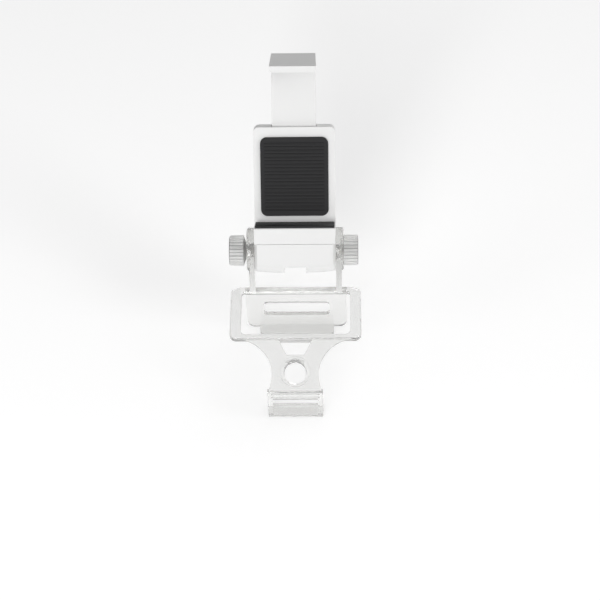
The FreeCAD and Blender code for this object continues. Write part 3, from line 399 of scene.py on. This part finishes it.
def new_tree(name, inputs):
    """an empty geometry node tree with named number inputs"""
    tree = bpy.data.node_groups.new(name, "GeometryNodeTree")
    tree.interface.new_socket("Geometry", in_out="INPUT", socket_type="NodeSocketGeometry")
    for label, value in inputs.items():
        kind = "NodeSocketInt" if isinstance(value, int) else "NodeSocketFloat"
        socket = tree.interface.new_socket(label, in_out="INPUT", socket_type=kind)
        socket.default_value = value
    tree.interface.new_socket("Geometry", in_out="OUTPUT", socket_type="NodeSocketGeometry")
    return tree, tree.nodes.new("NodeGroupInput"), tree.nodes.new("NodeGroupOutput")


def finish_tree(tree, result, sink, material):
    """end a tree in Realize Instances and Set Material"""
    real = tree.nodes.new("GeometryNodeRealizeInstances")
    paint = tree.nodes.new("GeometryNodeSetMaterial")
    paint.inputs["Material"].default_value = material
    tree.links.new(result, real.inputs["Geometry"])
    tree.links.new(real.outputs["Geometry"], paint.inputs["Geometry"])
    tree.links.new(paint.outputs["Geometry"], sink.inputs["Geometry"])


def along_axis(tree, axis, length):
    """a step of that length along one axis"""
    step = tree.nodes.new("ShaderNodeCombineXYZ")
    tree.links.new(length, step.inputs[axis])
    return step.outputs["Vector"]


def swept_bar(tree, path, radius, corners):
    """a bar of that radius along a path, with its ends closed"""
    section = tree.nodes.new("GeometryNodeCurvePrimitiveCircle")
    section.inputs["Resolution"].default_value = corners
    tree.links.new(radius, section.inputs["Radius"])
    bar = tree.nodes.new("GeometryNodeCurveToMesh")
    bar.inputs["Fill Caps"].default_value = True
    tree.links.new(path, bar.inputs["Curve"])
    tree.links.new(section.outputs["Curve"], bar.inputs["Profile Curve"])
    return bar.outputs["Mesh"]


def grow(name, tree, values, place, start=None):
    """run a tree with its inputs set, on a start mesh or on none, and put the result in place"""
    seed = put_in_scene(name + "_seed", start or bpy.data.meshes.new(name + "_seed"))
    growth = seed.modifiers.new("growth", "NODES")
    growth.node_group = tree
    for item in tree.interface.items_tree:
        if item.item_type == "SOCKET" and item.in_out == "INPUT" and item.name in values:
            growth[item.identifier] = values[item.name]
    bpy.context.view_layer.update()
    grown = seed.evaluated_get(bpy.context.evaluated_depsgraph_get())
    mesh = bpy.data.meshes.new_from_object(grown)
    mesh.name = name
    bpy.data.objects.remove(seed)
    mesh.transform(place)
    return put_in_scene(name, mesh)


def black_rubber():
    """matt black rubber with a fine pebble"""
    material, tree, shader = new_material("black_rubber")
    shader.inputs["Base Color"].default_value = RUBBER_TINT
    shader.inputs["Roughness"].default_value = 0.62
    shader.inputs["Specular IOR Level"].default_value = 0.35
    pebble = tree.nodes.new("ShaderNodeTexVoronoi")
    pebble.inputs["Scale"].default_value = PEBBLE_SCALE
    tree.links.new(object_place(tree), pebble.inputs["Vector"])
    raise_skin(tree, shader, pebble.outputs["Distance"], PEBBLE_STRENGTH, PEBBLE_DEEP)
    return material


pad_rubber = black_rubber()
for name in ("shelf_pad", "jaw_pad", "back_pad"):
    soften_edges(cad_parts[name], PAD_EDGE)
    dress(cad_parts[name], pad_rubber)


def row_of_ribs(material):
    """a tree that stands rounded ribs along X in a row along +Z, the first at its origin"""
    tree, given, sink = new_tree("row_of_ribs", {
        "Count": 10, "Pitch": 0.0016, "Length": 0.02, "Radius": 0.0004})
    row = tree.nodes.new("GeometryNodeMeshLine")
    tree.links.new(given.outputs["Count"], row.inputs["Count"])
    tree.links.new(along_axis(tree, "Z", given.outputs["Pitch"]), row.inputs["Offset"])
    spine = tree.nodes.new("GeometryNodeCurvePrimitiveLine")
    for share, socket in ((-0.5, "Start"), (0.5, "End")):
        end = figure(tree, "MULTIPLY", given.outputs["Length"], share)
        tree.links.new(along_axis(tree, "X", end), spine.inputs[socket])
    put = tree.nodes.new("GeometryNodeInstanceOnPoints")
    tree.links.new(row.outputs["Mesh"], put.inputs["Points"])
    rib = swept_bar(tree, spine.outputs["Curve"], given.outputs["Radius"], 14)
    tree.links.new(rib, put.inputs["Instance"])
    finish_tree(tree, put.outputs["Instances"], sink, material)
    return tree


pad_ribs = grow("back_pad_ribs", row_of_ribs(pad_rubber), {
    "Count": RIB_COUNT, "Pitch": RIB_PITCH, "Length": RIB_LENGTH, "Radius": RIB_RADIUS},
    Matrix.Translation(on_clamp(0, PAD_FACE + RIB_RADIUS - RIB_STANDS, FIRST_RIB)) @ UPRIGHT)
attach(pad_ribs, "clamp")

# ---------------------------------------------------------------------------------------------
# Friction washers. Natural nylon rings between the ears and the block, which rub on both and
# so hold the clamp at the tilt that it is set to.
NYLON_DARKER = (0.74, 0.73, 0.69, 1.0)
NYLON_LIGHTER = (0.84, 0.83, 0.8, 1.0)
MOTTLE_SCALE = 500.0


def natural_nylon():
    """milky nylon with a satin skin and a slight mottle"""
    material, tree, shader = new_material("natural_nylon")
    shader.inputs["Roughness"].default_value = 0.5
    shader.inputs["Subsurface Weight"].default_value = 0.2
    shader.inputs["Subsurface Radius"].default_value = (0.0006, 0.0006, 0.0005)
    mottle = cloudiness(tree, object_place(tree), MOTTLE_SCALE)
    tone = mixed(tree, mottle, NYLON_DARKER, NYLON_LIGHTER)
    tree.links.new(tone, shader.inputs["Base Color"])
    return material


washer_nylon = natural_nylon()
for name in ("washer_left", "washer_right"):
    dress(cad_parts[name], washer_nylon)

# ---------------------------------------------------------------------------------------------
# Nuts and guide rods. Steel, zinc plated: the nuts sit in pockets of the block, the rods stand
# in the housing. The springs, studs and cover screws below are of the same steel.
STEEL_TINT = (0.62, 0.61, 0.59, 1.0)
PLATING_SCALE = 700.0


def zinc_steel():
    """zinc-plated steel, a little uneven in its gloss"""
    material, tree, shader = new_material("zinc_steel")
    shader.inputs["Base Color"].default_value = STEEL_TINT
    shader.inputs["Metallic"].default_value = 1.0
    cloud = cloudiness(tree, object_place(tree), PLATING_SCALE)
    tree.links.new(spread(tree, cloud, 0.25, 0.4), shader.inputs["Roughness"])
    return material


plated = zinc_steel()
for name in ("guide_rod_left", "guide_rod_right", "nut_left", "nut_right"):
    dress(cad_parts[name], plated)

# ---------------------------------------------------------------------------------------------
# Springs. Two compression springs of round wire on the guide rods, each from the slider's wing
# to the housing's roof. They are wound by one rule, each to the length of the part that it
# stands for; the real springs shorten and lengthen with the slider.
SPRING_WIDE = 0.0042
SPRING_COIL = 0.00185
SPRING_WIRE = 0.00025
SPRING_TURNS = 15.0


def wound_bar(tree, given, coil, thickness, steps, corners):
    """a bar wound up +Z, with the turns, height and radii that the tree's inputs give"""
    spiral = tree.nodes.new("GeometryNodeCurveSpiral")
    spiral.inputs["Resolution"].default_value = steps
    tree.links.new(given.outputs["Turns"], spiral.inputs["Rotations"])
    tree.links.new(given.outputs["Height"], spiral.inputs["Height"])
    for end in ("Start Radius", "End Radius"):
        tree.links.new(given.outputs[coil], spiral.inputs[end])
    return swept_bar(tree, spiral.outputs["Curve"], given.outputs[thickness], corners)


def wound_wire(material):
    """a tree that winds round wire into a straight spring standing on its own origin"""
    tree, given, sink = new_tree("wound_wire", {
        "Turns": 15.0, "Height": 0.02, "Coil Radius": 0.002, "Wire Radius": 0.0003})
    smooth = tree.nodes.new("GeometryNodeSetShadeSmooth")
    wire = wound_bar(tree, given, "Coil Radius", "Wire Radius", 22, 8)
    tree.links.new(wire, smooth.inputs["Geometry"])
    finish_tree(tree, smooth.outputs["Geometry"], sink, material)
    return tree


winding = wound_wire(plated)
along = Vector((0.0, math.sin(LEAN), math.cos(LEAN)))
for name in ("spring_left", "spring_right"):
    low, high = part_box(name)
    length = ((high.y - low.y) - SPRING_WIDE * math.cos(LEAN)) / math.sin(LEAN)
    foot = (low + high) / 2 - along * (length / 2 - SPRING_WIRE)
    wire = grow(name + "_wire", winding, {
        "Turns": SPRING_TURNS, "Height": length - 2 * SPRING_WIRE, "Coil Radius": SPRING_COIL,
        "Wire Radius": SPRING_WIRE}, Matrix.Translation(foot) @ UPRIGHT)
    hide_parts(name)
    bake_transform(wire)

# ---------------------------------------------------------------------------------------------
# Studs. Steel screws with a flat round head sunk in the knob and a rolled thread that runs
# through the ear and the washer into the nut.
THREAD_PITCH = 0.0007
THREAD_CREST = 0.002
THREAD_FLANK = 0.00034
THREAD_ROOT = THREAD_CREST - THREAD_FLANK
PLAIN_TIP = 0.0004
PLAIN_ENDS = 0.0008
CORE_OVER_ROOT = 1.04
CORE_LONGER = 0.0007
HEAD_RADIUS = 0.0033
HEAD_HIGH = 0.0021
HEAD_EDGE = 0.0004
HEAD_ROUNDING = 0.3
HEAD_SIDES = 48
SOCKET_SIDES = 6
SOCKET_RADIUS = 0.00145
SOCKET_DEEP = 0.6


def rolled_thread(material):
    """a tree that lays a triangular thread round a core along +Z"""
    tree, given, sink = new_tree("rolled_thread", {
        "Turns": 10.0, "Height": 0.01, "Root Radius": 0.0016, "Flank": 0.0003})
    thread = wound_bar(tree, given, "Root Radius", "Flank", 28, 4)
    core = tree.nodes.new("GeometryNodeMeshCylinder")
    core.inputs["Vertices"].default_value = 32
    core_radius = figure(tree, "MULTIPLY", given.outputs["Root Radius"], CORE_OVER_ROOT)
    core_length = figure(tree, "ADD", given.outputs["Height"], CORE_LONGER)
    tree.links.new(core_radius, core.inputs["Radius"])
    tree.links.new(core_length, core.inputs["Depth"])
    lift = tree.nodes.new("GeometryNodeTransform")
    middle = figure(tree, "MULTIPLY", given.outputs["Height"], 0.5)
    tree.links.new(core.outputs["Mesh"], lift.inputs["Geometry"])
    tree.links.new(along_axis(tree, "Z", middle), lift.inputs["Translation"])
    both = tree.nodes.new("GeometryNodeJoinGeometry")
    tree.links.new(thread, both.inputs["Geometry"])
    tree.links.new(lift.outputs["Geometry"], both.inputs["Geometry"])
    finish_tree(tree, both.outputs["Geometry"], sink, material)
    return tree


def ring_of_points(mesh, radius, up, sides, shift=0.0):
    """points round the Z axis, the first turned from +X by that share of a side"""
    return [mesh.verts.new((radius * math.cos(math.tau * (turn + shift) / sides),
                            radius * math.sin(math.tau * (turn + shift) / sides), up))
            for turn in range(sides)]


def join_rings(mesh, lower, upper):
    """a wall of four-sided faces between two closed rings with as many points"""
    count = len(lower)
    for turn in range(count):
        after = (turn + 1) % count
        mesh.faces.new((lower[turn], lower[after], upper[after], upper[turn]))


def turned_body(mesh, profile, sides):
    """a body turned about +Z from (radius, height) pairs, closed below and open above"""
    rows = [ring_of_points(mesh, radius, up, sides) for radius, up in profile]
    for lower, upper in zip(rows, rows[1:]):
        join_rings(mesh, lower, upper)
    mesh.faces.new(list(reversed(rows[0])))
    return rows


def finished_mesh(mesh, name, material):
    """the mesh with its faces turned outwards and its material on"""
    bmesh.ops.recalc_face_normals(mesh, faces=mesh.faces)
    made = bpy.data.meshes.new(name)
    mesh.to_mesh(made)
    mesh.free()
    made.materials.append(material)
    return made


def screw_head(name, material):
    """a turned flat head with a rounded rim and a hexagon socket, its face at Z = 0"""
    mesh = bmesh.new()
    inset = HEAD_EDGE * HEAD_ROUNDING
    profile = [(HEAD_RADIUS, -HEAD_HIGH), (HEAD_RADIUS, -HEAD_EDGE),
               (HEAD_RADIUS - inset, -inset), (HEAD_RADIUS - HEAD_EDGE, 0.0)]
    rim = turned_body(mesh, profile, HEAD_SIDES)[-1]
    mouth, floor = [ring_of_points(mesh, SOCKET_RADIUS, up, SOCKET_SIDES, shift=0.5)
                    for up in (0.0, -HEAD_HIGH * SOCKET_DEEP)]
    for turn in range(HEAD_SIDES):
        after = (turn + 1) % HEAD_SIDES
        corner = turn * SOCKET_SIDES // HEAD_SIDES
        following = ((turn + 1) * SOCKET_SIDES // HEAD_SIDES) % SOCKET_SIDES
        if corner == following:
            mesh.faces.new((rim[turn], rim[after], mouth[corner]))
        else:
            mesh.faces.new((rim[turn], rim[after], mouth[following], mouth[corner]))
    join_rings(mesh, mouth, floor)
    mesh.faces.new(floor)
    return finished_mesh(mesh, name, material)


threading = rolled_thread(plated)
for name, side in (("stud_left", -1), ("stud_right", 1)):
    low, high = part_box(name)
    face, tip = (low.x, high.x) if side < 0 else (high.x, low.x)
    length = abs(face - tip)
    shank = length - HEAD_HIGH - PLAIN_ENDS
    outward = (Matrix.Translation((face, HINGE.y, HINGE.z))
               @ Matrix.Rotation(math.radians(90.0 * side), 4, "Y"))
    thread = grow(name + "_thread", threading, {
        "Turns": shank / THREAD_PITCH, "Height": shank, "Root Radius": THREAD_ROOT,
        "Flank": THREAD_FLANK}, outward @ Matrix.Translation((0, 0, -length + PLAIN_TIP)))
    head = screw_head(name + "_head", plated)
    head.transform(outward)
    head_piece = put_in_scene(name + "_head", head)
    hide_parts(name)
    for piece in (thread, head_piece):
        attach(piece, name)

# ---------------------------------------------------------------------------------------------
# Cover screws. Four countersunk self-tapping screws with cross recesses hold the rear cover.
# One screw is made as a mesh, and a tree sets it in each of the four places.
COVER_BACK = 0.0085
SCREW_PLACES = [(0.0092, 0.0032), (-0.0092, 0.0032), (0.0142, 0.054), (-0.0142, 0.054)]
SCREW_PROFILE = [(0.00045, -0.006), (0.00095, -0.005), (0.00095, -0.0011),
                 (0.00188, -0.00018), (0.00196, -0.00004), (0.00188, 0.0)]
SCREW_SIDES = 32
CROSS_ARM = 0.00115
CROSS_HALF = 0.00026
CROSS_TAPER = 0.55
CROSS_DEEP = 0.00085


def cross_screw(material):
    """one countersunk screw, its head's face at Z = 0, with a tapered cross recess"""
    mesh = bmesh.new()
    rim = turned_body(mesh, SCREW_PROFILE, SCREW_SIDES)[-1]
    outline = []
    for quarter in range(4):
        turn = Matrix.Rotation(quarter * math.pi / 2, 3, "Z")
        outline += [turn @ Vector(spot) for spot in (
            (CROSS_ARM, -CROSS_HALF, 0), (CROSS_ARM, CROSS_HALF, 0), (CROSS_HALF, CROSS_HALF, 0))]
    mouth = [mesh.verts.new(spot) for spot in outline]
    floor = [mesh.verts.new((spot.x * CROSS_TAPER, spot.y * CROSS_TAPER, -CROSS_DEEP))
             for spot in outline]
    join_rings(mesh, mouth, floor)
    mesh.faces.new(floor)
    borders = [mesh.edges.get((ring[turn], ring[(turn + 1) % len(ring)]))
               for ring in (rim, mouth) for turn in range(len(ring))]
    bmesh.ops.triangle_fill(mesh, edges=borders, use_beauty=True)
    return finished_mesh(mesh, "cross_screw", material)


def screws_in_cover(screw, material):
    """a tree that sets one screw on each point of the seed mesh"""
    tree, given, sink = new_tree("screws_in_cover", {"Size": 1.0})
    stock = tree.nodes.new("GeometryNodeObjectInfo")
    stock.inputs["Object"].default_value = screw
    put = tree.nodes.new("GeometryNodeInstanceOnPoints")
    tree.links.new(given.outputs["Geometry"], put.inputs["Points"])
    tree.links.new(stock.outputs["Geometry"], put.inputs["Instance"])
    tree.links.new(given.outputs["Size"], put.inputs["Scale"])
    finish_tree(tree, put.outputs["Instances"], sink, material)
    return tree


screw_stock = put_in_scene("cross_screw", cross_screw(plated))
screw_points = bpy.data.meshes.new("screw_points")
screw_points.from_pydata([(across, -up, 0.0) for across, up in SCREW_PLACES], [], [])
cover_screws = grow(
    "cover_screws", screws_in_cover(screw_stock, plated), {"Size": 1.0},
    Matrix.Translation(on_clamp(0, COVER_BACK, 0)) @ UPRIGHT
    @ Matrix.Rotation(math.radians(-90.0), 4, "X"), start=screw_points)
bpy.data.objects.remove(screw_stock)
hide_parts("rear_screws")
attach(cover_screws, "clamp")

# ---------------------------------------------------------------------------------------------
# Knobs. Clear plastic thumb knobs with ribbed rims and a conical neck that centres in the ear.
# Their plastic is milkier and rougher than the bracket's, and shade is painted into its colour,
# darker down in the grooves.
KNOB_EDGE = 0.0001
KNOB_RADIUS = 0.007
GROOVE_DEEP = 0.00045
GROOVE_DARK_BELOW = KNOB_RADIUS - GROOVE_DEEP * 1.05
GROOVE_LIGHT_ABOVE = KNOB_RADIUS - GROOVE_DEEP * 0.6
KNOB_TINT = (0.98, 0.98, 0.975, 1.0)
# the painted shade down in a knob's grooves
GROOVE_PAINTED_SHADE = (0.42, 0.42, 0.42, 1.0)


def paint_groove_shade(material):
    """paint shade into a knob's colour by the distance from its axis, darker down in the grooves
    """
    tree = material.node_tree
    from_hinge = vector_figure(tree, "SUBTRACT", object_place(tree), HINGE)
    across_axis = vector_figure(tree, "MULTIPLY", from_hinge, (0.0, 1.0, 1.0))
    away = vector_figure(tree, "LENGTH", across_axis)
    height = spread(tree, away, 0.0, 1.0, start=GROOVE_DARK_BELOW, end=GROOVE_LIGHT_ABOVE,
                    kind="SMOOTHSTEP")
    # painted shade: the colour darkens towards the bottoms of the grooves
    tone = mixed(tree, height, GROOVE_PAINTED_SHADE, KNOB_TINT)
    tree.links.new(tone, tree.nodes["Principled BSDF"].inputs["Base Color"])
    return material


knob_clear = paint_groove_shade(clear_polycarbonate(
    "knob_clear", rough=0.3, milk=0.46, tint=KNOB_TINT, ripple=0.02, smoke=8.0))
for name in ("knob_left", "knob_right"):
    soften_edges(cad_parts[name], KNOB_EDGE)
    dress(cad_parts[name], knob_clear)
